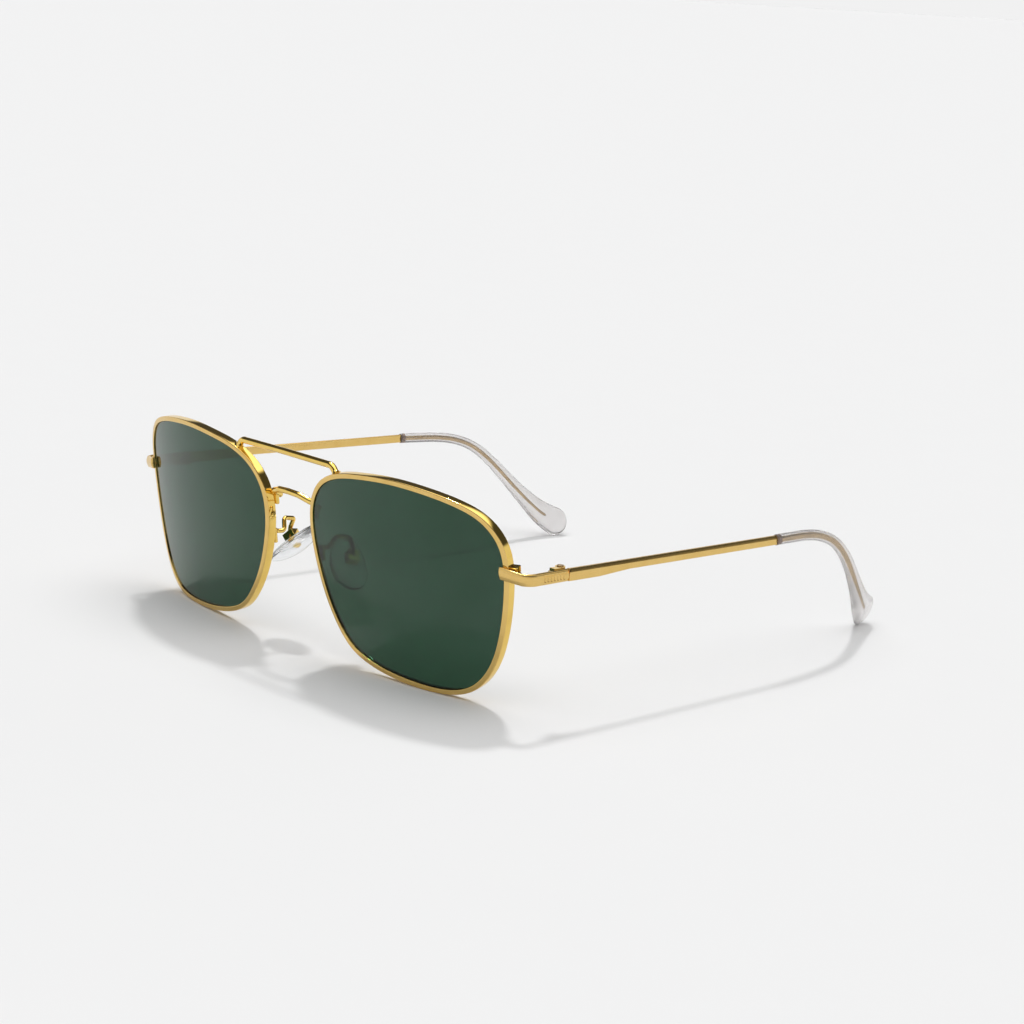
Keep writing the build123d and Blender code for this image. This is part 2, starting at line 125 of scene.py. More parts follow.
# Ear tips: x, y, z, height and width in millimetres, and twist in degrees, from socket to end.
TIP_STATIONS = [
    (69.78, 93.95, 30.33, 2.65, 2.25, 0),
    (69.15, 100.6, 30.15, 2.65, 2.35, 0),
    (68.35, 107.4, 29.75, 2.65, 2.40, 0),
    (67.70, 113.2, 28.70, 2.75, 2.45, 0),
    (67.10, 118.5, 26.60, 2.85, 2.55, 2),
    (66.25, 123.1, 23.40, 3.10, 2.65, 5),
    (65.00, 127.6, 19.10, 3.40, 2.75, 9),
    (63.30, 132.2, 14.10, 4.15, 2.85, 14),
    (61.40, 136.6, 9.50, 5.50, 2.95, 18),
    (59.40, 140.6, 5.90, 7.30, 2.95, 21),
    (57.85, 143.6, 3.95, 8.20, 2.85, 22),
]
TIP_STEPS = 220
TIP_CAP_LENGTH = 3.8
TIP_FRONT_SOFT = 0.25
CORE_LAST = 9
CORE_SIZES = ((0.85, 0.65), (0.70, 0.55))
CORE_CAP_LENGTH = 0.5
SOCKET_SPAN = (0.12, 1.5)
SOCKET_INSET = 0.30

# Brow bar and nose bridge wires: their left halves, from the middle of the face outwards.
BAR_R = 0.80
BAR_TURN_R = 2.0
BAR_POINTS = [(0.0, 2.0, 46.95), (17.1, 2.0, 46.85), (20.3, 2.25, 43.2)]
BAR_SINK = 0.6
BAR_STRAIGHT_X = 15
BAR_COLLAR = (0.42, 1.0)
COLLAR_OVERLAP = 0.25
ARCH_R = 0.75
ARCH_TURN_R = 1.8
ARCH_POINTS = [(0.0, 3.05, 37.55), (3.7, 3.25, 37.35), (7.1, 4.1, 36.35), (8.15, 6.8, 34.9)]
BRIDGE_FOOT_SPOT = (-28.95, 10.6)
BRIDGE_FOOT_SIZE = (2.1, 3.5, 0.85)
FOOT_ROUND = 0.25

# Nose pads and their wire arms.
ARM_R = 0.55
ARM_TURN_R = 0.9
ARM_FOOT_SPOT = (-27.45, 0.8)
ARM_FOOT_SIZE = (1.8, 3.6, 0.8)
ARM_START_RISE = 1.0
ARM_END_SINK = 0.1
ARM_POINTS = [(9.1, 9.2, 25.7), (10.5, 10.0, 28.5), (11.1, 13.4, 27.9), (12.5, 13.55, 25.5)]
ARM_COLLAR = (0.30, 0.9)
PAD_MIDDLE = np.array([10.2, 13.8, 21.6])
PAD_FACE = np.array([-0.70, 0.06, -0.71])
PAD_LONG = np.array([-0.70, 0.32, 0.64])
PAD_LENGTH = 15.4
PAD_WIDTH = 9.0
PAD_TAPER = 0.16
PAD_BACK = -0.85
PAD_FRONT = 0.95
PAD_DOME_R = 24.0
PAD_BOX_BOTTOM = -3.65
PAD_STEPS = 96

# Light: the way to the sun and its strength, and the sky's brightness at the horizon and overhead.
# SKY_LEAST is what the dark ring keeps, and is added everywhere.
# FLOOR_HALF, half the floor's side, is in metres.
SUN_WAY = (-0.48, 0.43, 1.0)
SUN_STRENGTH = 1.08
SUN_ANGLE = math.radians(5.5)
SKY_BRIGHT = 0.81
SKY_TOP = 1.74
SKY_LEAST = 0.07
FLOOR_HALF = 60

# Camera: angles, distance from the aim, and slide across the view.
AZIMUTH = math.radians(47.339)
ELEVATION = math.radians(12.156)
ROLL = math.radians(3.255)
DISTANCE = 597.518
SLIDE = (17.702, 7.606)
AIM = np.array([0.0, 50.0, 20.0])
LENS_LENGTH = 85.69
SENSOR_WIDTH = 36


# ------------------------------------------------------------------ vectors and frames
def unit(v):
    """The same direction with a length of one."""
    v = np.asarray(v, float)
    return v / np.linalg.norm(v)


def travelled(points):
    """Distance along a run at each of its points, from the first."""
    return np.concatenate([[0], np.cumsum(np.linalg.norm(np.diff(points, axis=0), axis=1))])


def run_ways(points):
    """Unit direction of a run at each of its points."""
    ways = np.gradient(points, axis=0)
    return ways / np.linalg.norm(ways, axis=1)[:, None]


def ellipse(across, other, sides):
    """Points round an ellipse, or a circle, from its two half-axes."""
    angles = 2 * math.pi * np.arange(sides) / sides
    return np.cos(angles)[:, None] * across + np.sin(angles)[:, None] * other


def to_row(points):
    """Drawing millimetres to row-frame metres."""
    return (np.asarray(points, float) + ROW_SHIFT) / 1000


# A direction that no wire runs along, to start the sections of wires from.
NO_WIRE_WAY = (0.3, 0.2, 0.93)
FACE_X = np.array([math.cos(FACE_WRAP), math.sin(FACE_WRAP) * math.cos(FACE_TILT),
                   math.sin(FACE_WRAP) * math.sin(FACE_TILT)])
FACE_Z = np.array([math.sin(FACE_WRAP), -math.cos(FACE_WRAP) * math.cos(FACE_TILT),
                   -math.cos(FACE_WRAP) * math.sin(FACE_TILT)])
FACE_Y = np.cross(FACE_Z, FACE_X)
SIDE_Y = np.array([-math.sin(SIDE_TURN) * math.cos(SIDE_DROP), math.cos(SIDE_TURN) * math.cos(SIDE_DROP),
                   -math.sin(SIDE_DROP)])
SIDE_X = np.array([math.cos(SIDE_TURN), math.sin(SIDE_TURN), 0.0])
SIDE_Z = np.cross(SIDE_X, SIDE_Y)


def on_face(x, y, depth):
    """Points at x outwards and y up the lens, at a depth behind the curved front surface."""
    x, y, depth = np.broadcast_arrays(np.asarray(x, float), y, depth)
    lift = np.sqrt((FACE_RADIUS - depth) ** 2 - x * x) - FACE_RADIUS
    return LENS_MIDDLE + x[..., None] * FACE_X + y[..., None] * FACE_Y + lift[..., None] * FACE_Z


def on_side(x, y, z):
    """Points measured from the seam: x outwards, y back along the temple, z up."""
    x, y, z = np.broadcast_arrays(np.asarray(x, float), y, z)
    return SEAM + x[..., None] * SIDE_X + y[..., None] * SIDE_Y + z[..., None] * SIDE_Z


def face_spot(x, y, lift):
    """Origin and axes (x, y, outward normal) of a spot on the front surface, raised by lift."""
    turn = math.asin(x / FACE_RADIUS)
    normal = math.sin(turn) * FACE_X + math.cos(turn) * FACE_Z
    across = math.cos(turn) * FACE_X - math.sin(turn) * FACE_Z
    return on_face(x, y, -lift), across, FACE_Y, normal


# ------------------------------------------------------------------ curves
def ring_spline(points, count):
    """Smooth closed curve through points: positions and outward normals at count even steps."""
    p = np.array(points, float)
    n = len(p)
    gap = np.linalg.norm(np.roll(p, -1, 0) - p, axis=1)
    table = np.zeros((n, n))
    right = np.zeros_like(p)
    for i in range(n):
        before, after = gap[i - 1], gap[i]
        table[i, i - 1] += before
        table[i, i] += 2 * (before + after)
        table[i, (i + 1) % n] += after
        right[i] = 6 * ((p[(i + 1) % n] - p[i]) / after - (p[i] - p[i - 1]) / before)
    bend = np.linalg.solve(table, right)
    knots = np.concatenate([[0], np.cumsum(gap)])
    at = np.arange(count) * knots[-1] / count
    k = np.clip(np.searchsorted(knots, at, side="right") - 1, 0, n - 1)
    h = gap[k][:, None]
    u = (at - knots[k])[:, None]
    a, b = p[k], p[(k + 1) % n]
    ma, mb = bend[k], bend[(k + 1) % n]
    slope = (b - a) / h - h * (2 * ma + mb) / 6
    place = a + slope * u + ma / 2 * u ** 2 + (mb - ma) / (6 * h) * u ** 3
    way = slope + ma * u + (mb - ma) / (2 * h) * u ** 2
    way /= np.linalg.norm(way, axis=1)[:, None]
    outward = np.stack([way[:, 1], -way[:, 0]], 1)
    if (outward * place).sum() < 0:
        outward = -outward
    return place, outward


def open_spline(rows, count):
    """Natural cubic through rows of numbers, spaced by their first three columns."""
    p = np.array(rows, float)
    gap = np.linalg.norm(np.diff(p[:, :3], axis=0), axis=1)
    n = len(p)
    table = np.eye(n)
    right = np.zeros_like(p)
    for i in range(1, n - 1):
        table[i, i - 1:i + 2] = gap[i - 1], 2 * (gap[i - 1] + gap[i]), gap[i]
        right[i] = 6 * ((p[i + 1] - p[i]) / gap[i] - (p[i] - p[i - 1]) / gap[i - 1])
    bend = np.linalg.solve(table, right)
    knots = np.concatenate([[0], np.cumsum(gap)])
    at = np.linspace(0, knots[-1], count)
    k = np.clip(np.searchsorted(knots, at, side="right") - 1, 0, n - 2)
    h = gap[k][:, None]
    u = (at - knots[k])[:, None]
    slope = (p[k + 1] - p[k]) / h - h * (2 * bend[k] + bend[k + 1]) / 6
    return p[k] + slope * u + bend[k] / 2 * u ** 2 + (bend[k + 1] - bend[k]) / (6 * h) * u ** 3


def bent_run(points, turn_radius, step=math.radians(6)):
    """Straight stretches through the points, joined by arcs, as a dense list of positions."""
    corners = [np.array(p, float) for p in points]
    run = [corners[0]]
    for before, corner, after in zip(corners, corners[1:], corners[2:]):
        way_in = unit(corner - before)
        way_out = unit(after - corner)
        turn = math.acos(np.clip(way_in @ way_out, -1, 1))
        reach = turn_radius * math.tan(turn / 2)
        side = unit(way_out - way_in)
        centre = corner + side * turn_radius / math.cos(turn / 2)
        start = corner - way_in * reach
        first = start - centre
        count = max(3, int(turn / step))
        for k in range(count + 1):
            angle = turn * k / count
            run.append(centre + first * math.cos(angle) + way_in * turn_radius * math.sin(angle))
    run.append(corners[-1])
    return np.array(run)


def thickened(points, spacing=0.25):
    """The same run with extra positions on its straight stretches."""
    out = [points[0]]
    for a, b in zip(points, points[1:]):
        pieces = max(1, int(np.linalg.norm(b - a) / spacing))
        out += [a + (b - a) * (k + 1) / pieces for k in range(pieces)]
    return np.array(out)


def rounded(corners, steps=6):
    """Closed outline through corners (x, y, radius), with round corners."""
    out = []
    n = len(corners)
    for i in range(n):
        p = np.array(corners[i][:2], float)
        radius = corners[i][2]
        way_in = unit(p - np.array(corners[i - 1][:2]))
        way_out = unit(np.array(corners[(i + 1) % n][:2]) - p)
        turn = math.acos(np.clip(way_in @ way_out, -1, 1))
        side = unit(way_out - way_in)
        centre = p + side * radius / math.cos(turn / 2)
        first = p - way_in * radius * math.tan(turn / 2) - centre
        for k in range(steps + 1):
            angle = turn * k / steps
            out.append(centre + first * math.cos(angle) + way_in * radius * math.sin(angle))
    return np.array(out)


# ------------------------------------------------------------------ meshes
def make_object(name, vertices, faces, materials, face_slots=None, sharp=None):
    """Mesh object in the row frame; outward faces are found again from the closed shape."""
    mesh = bpy.data.meshes.new(name)
    mesh.from_pydata([tuple(p) for p in to_row(vertices)], [], faces)
    for material in materials:
        mesh.materials.append(material)
    if face_slots is not None:
        mesh.polygons.foreach_set("material_index", face_slots)
    bm = bmesh.new()
    bm.from_mesh(mesh)
    bmesh.ops.recalc_face_normals(bm, faces=bm.faces)
    bm.to_mesh(mesh)
    bm.free()
    mesh.polygons.foreach_set("use_smooth", [True] * len(mesh.polygons))
    if sharp is not None:
        mesh.set_sharp_from_angle(angle=math.radians(sharp))
    obj = bpy.data.objects.new(name, mesh)
    bpy.context.scene.collection.objects.link(obj)
    return obj


def skin(rings, face_slot=None):
    """Vertices, faces and face slots over a stack of equal rings, with both ends closed."""
    rings = np.asarray(rings, float)
    count, around = rings.shape[:2]
    vertices = rings.reshape(-1, 3).tolist()
    faces = []
    slots = []
    for i in range(count - 1):
        j = i + 1
        for k in range(around):
            m = (k + 1) % around
            faces.append((i * around + k, i * around + m, j * around + m, j * around + k))
            slots.append(0 if face_slot is None else face_slot[k])
    for i in (0, count - 1):
        hub = len(vertices)
        vertices.append(rings[i].mean(0).tolist())
        for k in range(around):
            faces.append((i * around + k, i * around + (k + 1) % around, hub))
            slots.append(0 if face_slot is None else face_slot[k])
    return np.array(vertices), faces, slots


def wire_rings(run, radius, sides=40):
    """Round rings along a run, with softly rounded ends."""
    ways = run_ways(run)
    across = unit(np.cross(ways[0], NO_WIRE_WAY))
    rings = []
    soft = radius * 0.35
    arc = [math.radians(a) for a in (30, 60, 80)]
    for i, (p, way) in enumerate(zip(run, ways)):
        across = unit(across - way * (across @ way))
        circle = ellipse(across, np.cross(way, across), sides)
        if i == 0:
            rings += [p - way * soft * math.sin(a) + circle * (radius - soft + soft * math.cos(a))
                      for a in reversed(arc)]
        rings.append(p + circle * radius)
        if i == len(run) - 1:
            rings += [p + way * soft * math.sin(a) + circle * (radius - soft + soft * math.cos(a))
                      for a in arc]
    return np.array(rings)


def both_sides(name, vertices, faces, slots, materials, bodies, slot_name, replaced=None, sharp=None):
    """Left object and its mirror image, each on its own body."""
    for side, sign in (("left", 1), ("right", -1)):
        obj = make_object(f"{side}_{name}", np.array(vertices) * (sign, 1, 1), faces, materials, slots, sharp)
        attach(obj, bodies[side])
        if replaced:
            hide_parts(f"{side}_{replaced}")


def block(origin, x_way, y_way, z_way, size, radius):
    """Box with rounded edges: vertices and faces."""
    bm = bmesh.new()
    bmesh.ops.create_cube(bm, size=1.0)
    for v in bm.verts:
        v.co = Vector([v.co[i] * size[i] for i in range(3)])
    bmesh.ops.bevel(bm, geom=list(bm.edges), offset=radius, segments=5, profile=0.5, affect="EDGES")
    bm.verts.ensure_lookup_table()
    vertices = [origin + v.co.x * x_way + v.co.y * y_way + v.co.z * z_way for v in bm.verts]
    faces = [tuple(v.index for v in f.verts) for f in bm.faces]
    bm.free()
    return np.array(vertices), faces


def joined(*parts):
    """Several shells as one set of vertices and faces."""
    vertices = []
    faces = []
    for some_vertices, some_faces in parts:
        base = len(vertices)
        vertices += [tuple(v) for v in some_vertices]
        faces += [tuple(base + i for i in f) for f in some_faces]
    return np.array(vertices), faces


# ------------------------------------------------------------------ materials
def new_material(name):
    """Material with its nodes and links."""
    material = bpy.data.materials.new(name)
    material.use_nodes = True
    return material, material.node_tree.nodes, material.node_tree.links


def cloudy_tone(nodes, links, scale, detail, span, deep, light):
    """Base colour between two tones from soft noise; returns the place node and the noise."""
    shader = nodes["Principled BSDF"]
    place = nodes.new("ShaderNodeTexCoord")
    cloud = nodes.new("ShaderNodeTexNoise")
    cloud.inputs["Scale"].default_value = scale
    cloud.inputs["Detail"].default_value = detail
    links.new(place.outputs["Object"], cloud.inputs["Vector"])
    tone = nodes.new("ShaderNodeValToRGB")
    for element, position, colour in zip(tone.color_ramp.elements, span, (deep, light)):
        element.position = position
        element.color = (*colour, 1)
    links.new(cloud.outputs["Fac"], tone.inputs["Fac"])
    links.new(tone.outputs["Color"], shader.inputs["Base Color"])
    return place, cloud


def uneven_polish(nodes, links, noise, low, high):
    """Roughness between two values, from a noise node."""
    spread = nodes.new("ShaderNodeMapRange")
    spread.inputs["To Min"].default_value = low
    spread.inputs["To Max"].default_value = high
    links.new(noise.outputs["Fac"], spread.inputs["Value"])
    links.new(spread.outputs["Result"], nodes["Principled BSDF"].inputs["Roughness"])


def metal(name, colour, dark, roughness, grain, bump):
    """Metal with a cloudy tone and a fine brushed grain in its gloss and relief."""
    material, nodes, links = new_material(name)
    shader = nodes["Principled BSDF"]
    shader.inputs["Metallic"].default_value = 1.0
    place, _ = cloudy_tone(nodes, links, 260, 5, (0.25, 0.75), dark, colour)
    stretch = nodes.new("ShaderNodeMapping")
    stretch.inputs["Scale"].default_value = (9000, 1100, 9000)
    links.new(place.outputs["Object"], stretch.inputs["Vector"])
    fine = nodes.new("ShaderNodeTexNoise")
    fine.inputs["Scale"].default_value = 1.0
    fine.inputs["Detail"].default_value = 3
    links.new(stretch.outputs["Vector"], fine.inputs["Vector"])
    uneven_polish(nodes, links, fine, roughness - grain, roughness + grain)
    relief = nodes.new("ShaderNodeBump")
    relief.inputs["Strength"].default_value = bump
    relief.inputs["Distance"].default_value = 0.00002
    links.new(fine.outputs["Fac"], relief.inputs["Height"])
    links.new(relief.outputs["Normal"], shader.inputs["Normal"])
    return material


def clear_plastic(name, tint, deep, roughness, clearness, ior):
    """Clear plastic with a faint cloudy tint and a slightly uneven polish."""
    material, nodes, links = new_material(name)
    shader = nodes["Principled BSDF"]
    shader.inputs["Transmission Weight"].default_value = clearness
    shader.inputs["IOR"].default_value = ior
    _, cloud = cloudy_tone(nodes, links, 420, 4, (0, 1), deep, tint)
    uneven_polish(nodes, links, cloud, roughness * 0.6, roughness * 1.4)
    return material


def tinted_glass(name, tint, deep):
    """Dark green lens: a clear polished surface over a faintly cloudy tint."""
    material, nodes, links = new_material(name)
    shader = nodes["Principled BSDF"]
    shader.inputs["Transmission Weight"].default_value = 1.0
    shader.inputs["IOR"].default_value = 1.40
    shader.inputs["Roughness"].default_value = 0.015
    cloudy_tone(nodes, links, 70, 4, (0.3, 0.7), deep, tint)
    return material


GOLD_SATIN = metal("gold_satin", (0.78, 0.54, 0.19), (0.72, 0.48, 0.15), 0.20, 0.05, 0.12)
GOLD_POLISHED = metal("gold_polished", (0.86, 0.61, 0.17), (0.80, 0.54, 0.13), 0.07, 0.03, 0.05)
SCREW_GOLD = metal("screw_gold", (0.62, 0.45, 0.22), (0.50, 0.34, 0.15), 0.22, 0.06, 0.20)
SOCKET_BROWN = metal("socket_brown", (0.30, 0.17, 0.09), (0.18, 0.09, 0.05), 0.35, 0.08, 0.20)
LENS_GREEN = tinted_glass("lens_green", (0.020, 0.060, 0.034), (0.014, 0.052, 0.026))
CLEAR_ACETATE = clear_plastic("clear_acetate", (0.91, 0.90, 0.90), (0.85, 0.82, 0.81), 0.20, 0.86, 1.46)
CLEAR_SILICONE = clear_plastic("clear_silicone", (0.96, 0.97, 0.98), (0.91, 0.93, 0.95), 0.08, 0.94, 1.42)

FRONT_BODY = {"left": "front", "right": "front"}
TEMPLE_BODY = {"left": "left_temple_arm", "right": "right_temple_arm"}
PAD_BODY = {"left": "left_pad", "right": "right_pad"}

# ------------------------------------------------------------------ rims
outline, outward = ring_spline(OPENING, OUTLINE_STEPS)
section = rounded([
    (0, 0, RIM_INNER_ROUND), (RIM_WIDTH, 0, RIM_OUTER_ROUND),
    (RIM_WIDTH, RIM_DEPTH, RIM_OUTER_ROUND), (0, RIM_DEPTH, RIM_INNER_ROUND),
    (0, GROOVE[1], GROOVE_MOUTH_ROUND), (GROOVE_DEPTH, GROOVE[1], GROOVE_FLOOR_ROUND),
    (GROOVE_DEPTH, GROOVE[0], GROOVE_FLOOR_ROUND), (0, GROOVE[0], GROOVE_MOUTH_ROUND),
])
outer_half = [k for k in range(OUTLINE_STEPS) if outline[k, 0] > OUTER_SIDE_X]
cut = min(outer_half, key=lambda k: abs(outline[k, 1] - SLIT_Y))
order = [(cut + 1 + k) % OUTLINE_STEPS for k in range(OUTLINE_STEPS - 1)]


def at_height(target):
    """Outline position and normal on the outer side at one height."""
    ks = sorted(outer_half, key=lambda k: outline[k, 1])
    heights = [outline[k, 1] for k in ks]
    return [np.array([np.interp(target, heights, [row[k, i] for k in ks]) for i in (0, 1)])
            for row in (outline, outward)]


stations = [(outline[k], outward[k]) for k in order
            if not (outline[k, 0] > OUTER_SIDE_X
                    and abs(outline[k, 1] - SLIT_Y) < SLIT_HEIGHT / 2 + SLIT_MARGIN)]
first_up = stations[0][0][1] > SLIT_Y
for target in (SLIT_Y + SLIT_HEIGHT / 2, SLIT_Y - SLIT_HEIGHT / 2):
    if (target > SLIT_Y) == first_up:
        stations.insert(0, at_height(target))
    else:
        stations.append(at_height(target))
rings = []
for place, normal in stations:
    grown = place + normal * section[:, :1]
    rings.append(on_face(grown[:, 0], grown[:, 1], section[:, 1]))
middles = (section + np.roll(section, -1, 0)) / 2
face_materials = [0 if m[1] < FRONT_FACE_DEPTH else 1 for m in middles]
both_sides("rim", *skin(rings, face_materials), [GOLD_SATIN, GOLD_POLISHED], FRONT_BODY, "gold_satin",
           "rim", sharp=40)

# ------------------------------------------------------------------ lenses
edge_profile = [
    (-LENS_SOFT, LENS_DEPTHS, 0.0), (-0.08, LENS_DEPTHS, 0.03), (-LENS_PLAY, LENS_DEPTHS, 0.10),
    (-LENS_PLAY, GROOVE, 0.04), (LENS_BEVEL - 0.08, GROOVE, 0.06), (LENS_BEVEL, GROOVE, 0.14),
]
lens_edge = [(grow, depths[0] + inset) for grow, depths, inset in edge_profile]
lens_edge += [(grow, depths[1] - inset) for grow, depths, inset in reversed(edge_profile)]


def lens_face(shares, depth):
    """Rings over one lens face, at shares of the way from its middle to its edge."""
    rim = outline + outward * -LENS_SOFT
    return [on_face(rim[:, 0] * share, rim[:, 1] * share, depth) for share in shares]


shares = np.linspace(*LENS_SHARES, LENS_RINGS)
lens_rings = lens_face(shares, LENS_DEPTHS[0])
for grow, depth in lens_edge:
    edge = outline + outward * grow
    lens_rings.append(on_face(edge[:, 0], edge[:, 1], depth))
lens_rings += lens_face(shares[::-1], LENS_DEPTHS[1])
both_sides("lens", *skin(lens_rings), [LENS_GREEN], FRONT_BODY, "lens_green", "lens", sharp=35)

# ------------------------------------------------------------------ end pieces
turn = math.asin(STRIP_START_X / FACE_RADIUS)
strip_out = np.array([math.cos(turn), -math.sin(turn)])
strip_normal = np.array([math.sin(turn), math.cos(turn)])
strip_first = np.array([FACE_RADIUS * math.sin(turn), FACE_RADIUS * (math.cos(turn) - 1)])
strip_first = strip_first + strip_normal * (STRIP_GAP + STRIP_THICK / 2)
seam_flat = np.array([(SEAM - LENS_MIDDLE) @ FACE_X, (SEAM - LENS_MIDDLE) @ FACE_Z])
back_flat = unit([SIDE_Y @ FACE_X, SIDE_Y @ FACE_Z])
lengths = np.linalg.solve(np.array([strip_out, -back_flat]).T, seam_flat - strip_first)
strip_corner = strip_first + strip_out * lengths[0]
strip_last = seam_flat - back_flat * SEAM_GAP
strip_run = bent_run([(*strip_first, 0), (*strip_corner, 0), (*strip_last, 0)], STRIP_TURN_R, math.radians(3))
strip_run = thickened(strip_run, STRIP_SPACING)[:, :2]


def smooth_step(low, high, value):
    """0 below low, 1 above high and a soft change between them."""
    share = np.clip((value - low) / (high - low), 0, 1)
    return share * share * (3 - 2 * share)


def strip_section():
    """Points (u across the thickness, w height share, e height offset): crowned outside, flat inside."""
    half = STRIP_THICK / 2
    edge = half - STRIP_CROWN
    arc = [math.radians(90 * k / 5) for k in range(6)]
    points = []
    for w in np.linspace(0, 1, FACE_ROWS):
        points.append((half - STRIP_CROWN * (2 * w - 1) ** 2, w, STRIP_ROUND * (1 - 2 * w)))
    corners = [
        (arc[1:], edge, -1, 1), (arc[::-1], -half, 1, 1), (arc, -half, 1, 0), (arc[:0:-1], edge, -1, 0),
    ]
    for angles, side, inwards, w in corners:
        for a in angles:
            points.append((side + inwards * STRIP_ROUND * (1 - math.cos(a)), w,
                           (1 - 2 * w) * STRIP_ROUND * (1 - math.sin(a))))
    return np.array(points)


strip_points = strip_section()
ways = run_ways(strip_run)
normals = np.stack([-ways[:, 1], ways[:, 0]], 1)
normals *= np.sign((normals * strip_normal).sum(1)[0])
travel = travelled(strip_run)
strip_rings = []


def strip_ring(position, normal, inset):
    """One ring of the strip, drawn in by inset near a rounded end."""
    u = np.sign(strip_points[:, 0]) * np.maximum(np.abs(strip_points[:, 0]) - inset, 0.02)
    flat = position + u[:, None] * normal
    base = LENS_MIDDLE + flat[:, :1] * FACE_X + flat[:, 1:] * FACE_Z
    limits = []
    for line in (STRIP_LOW, STRIP_TOP):
        height = np.zeros(len(u))
        for _ in range(HEIGHT_PASSES):
            x = base[:, 0] + height * FACE_Y[0]
            wanted = np.interp(x, [p[0] for p in line], [p[1] for p in line])
            height = (wanted - base[:, 2]) / FACE_Y[2]
        limits.append(height)
    low, high = limits[0] + inset, limits[1] - inset
    height = low + (high - low) * strip_points[:, 1] + strip_points[:, 2]
    ring = base + height[:, None] * FACE_Y
    from_seam = ring - SEAM
    along, up = from_seam @ SIDE_Y, from_seam @ SIDE_Z
    inside = (smooth_step(PANEL_Y[0] - PANEL_BLEND, PANEL_Y[0] + PANEL_BLEND, along)
              * (1 - smooth_step(PANEL_Y[1] - PANEL_BLEND, PANEL_Y[1] + PANEL_BLEND, along))
              * (1 - smooth_step(PANEL_HALF_HEIGHT - PANEL_BLEND, PANEL_HALF_HEIGHT + PANEL_BLEND,
                                 np.abs(up))))
    outer = np.arange(len(strip_points)) < FACE_ROWS
    ribs = 0.5 + 0.5 * np.cos(2 * math.pi * along / PANEL_RIB)
    sunk = (PANEL_DEPTH - RIB_HEIGHT * ribs) * inside * outer
    inward = -(normal[0] * FACE_X + normal[1] * FACE_Z)
    return ring + sunk[:, None] * inward


for a in (85, 65, 45, 25, 10):
    share = math.radians(a)
    strip_rings.append(strip_ring(strip_run[0] + ways[0] * END_SOFT * (1 - math.sin(share)), normals[0],
                                  END_SOFT * 0.6 * (1 - math.cos(share))))
for k in range(len(strip_run)):
    if END_SOFT < travel[k] < travel[-1] - SEAM_SOFT:
        strip_rings.append(strip_ring(strip_run[k], normals[k], 0))
for gap, inset in ((0.10, 0.0), (0.04, 0.02), (0.0, 0.09)):
    strip_rings.append(strip_ring(strip_run[-1] - ways[-1] * gap, normals[-1], inset))
both_sides("end_piece", *skin(strip_rings), [GOLD_SATIN], FRONT_BODY, "gold_satin", "end_piece", sharp=45)

# ------------------------------------------------------------------ temples
def temple_ring(y, inset):
    """Section of the temple bar: a long bevel above on the outside, rounded below."""
    low_height = TEMPLE_TOP - TEMPLE_HEIGHTS[0]
    thin = TEMPLE_TOP - TEMPLE_HEIGHTS[1]
    low = low_height + (thin - low_height) * float(np.clip((y - FLARE[0]) / (FLARE[1] - FLARE[0]), 0, 1))
    half = TEMPLE_THICK / 2 - inset
    top = TEMPLE_TOP - inset
    points = rounded([
        (half, low + inset, TEMPLE_SOFT), (half, top - BEVEL[1], 0.12), (half - BEVEL[0], top, 0.10),
        (-half + INNER_BEVEL, top, 0.05), (-half, top - INNER_BEVEL, 0.05), (-half, low + inset, TEMPLE_SOFT),
    ], 4)
    return on_side(points[:, 0], y, points[:, 1])


temple_rings = [temple_ring(0.0, 0.09), temple_ring(0.03, 0.03), temple_ring(0.10, 0.0)]
for y in np.linspace(0.6, TEMPLE_LENGTH, TEMPLE_STEPS):
    temple_rings.append(temple_ring(y, 0.0))
both_sides("temple", *skin(temple_rings), [GOLD_SATIN], TEMPLE_BODY, "gold_satin", "temple", sharp=40)

# ------------------------------------------------------------------ ear tips, their wire cores and sockets
tip_line = open_spline(TIP_STATIONS, TIP_STEPS)
tip_ways = run_ways(tip_line[:, :3])
tip_travel = travelled(tip_line[:, :3])


def oval(position, way, high, wide, twist=0.0, sides=56):
    """Oval ring square to a direction: high upwards, wide across and turned by a twist."""
    level = unit(np.cross(way, (0, 0, 1)))
    rise = np.cross(level, way)
    across = level * math.cos(twist) - rise * math.sin(twist)
    up = rise * math.cos(twist) + level * math.sin(twist)
    return position + ellipse(across * wide / 2, up * high / 2, sides)


tip_rings = []
for a in (80, 55, 30, 10):
    share = math.radians(a)
    row = tip_line[0]
    shrink = 0.5 * (1 - math.cos(share))
    tip_rings.append(oval(row[:3] + tip_ways[0] * TIP_FRONT_SOFT * (1 - math.sin(share)), tip_ways[0],
                          row[3] - shrink, row[4] - shrink))
for k in range(2, TIP_STEPS):
    row = tip_line[k]
    tip_rings.append(oval(row[:3], tip_ways[k], row[3], row[4], math.radians(row[5])))
for a in range(6, 90, 6):
    share = math.radians(a)
    row = tip_line[-1]
    tip_rings.append(oval(row[:3] + tip_ways[-1] * TIP_CAP_LENGTH * math.sin(share), tip_ways[-1],
                          row[3] * math.cos(share), row[4] * math.cos(share), math.radians(row[5])))
both_sides("ear_tip", *skin(tip_rings), [CLEAR_ACETATE], TEMPLE_BODY, "clear_acetate", "ear_tip", sharp=60)

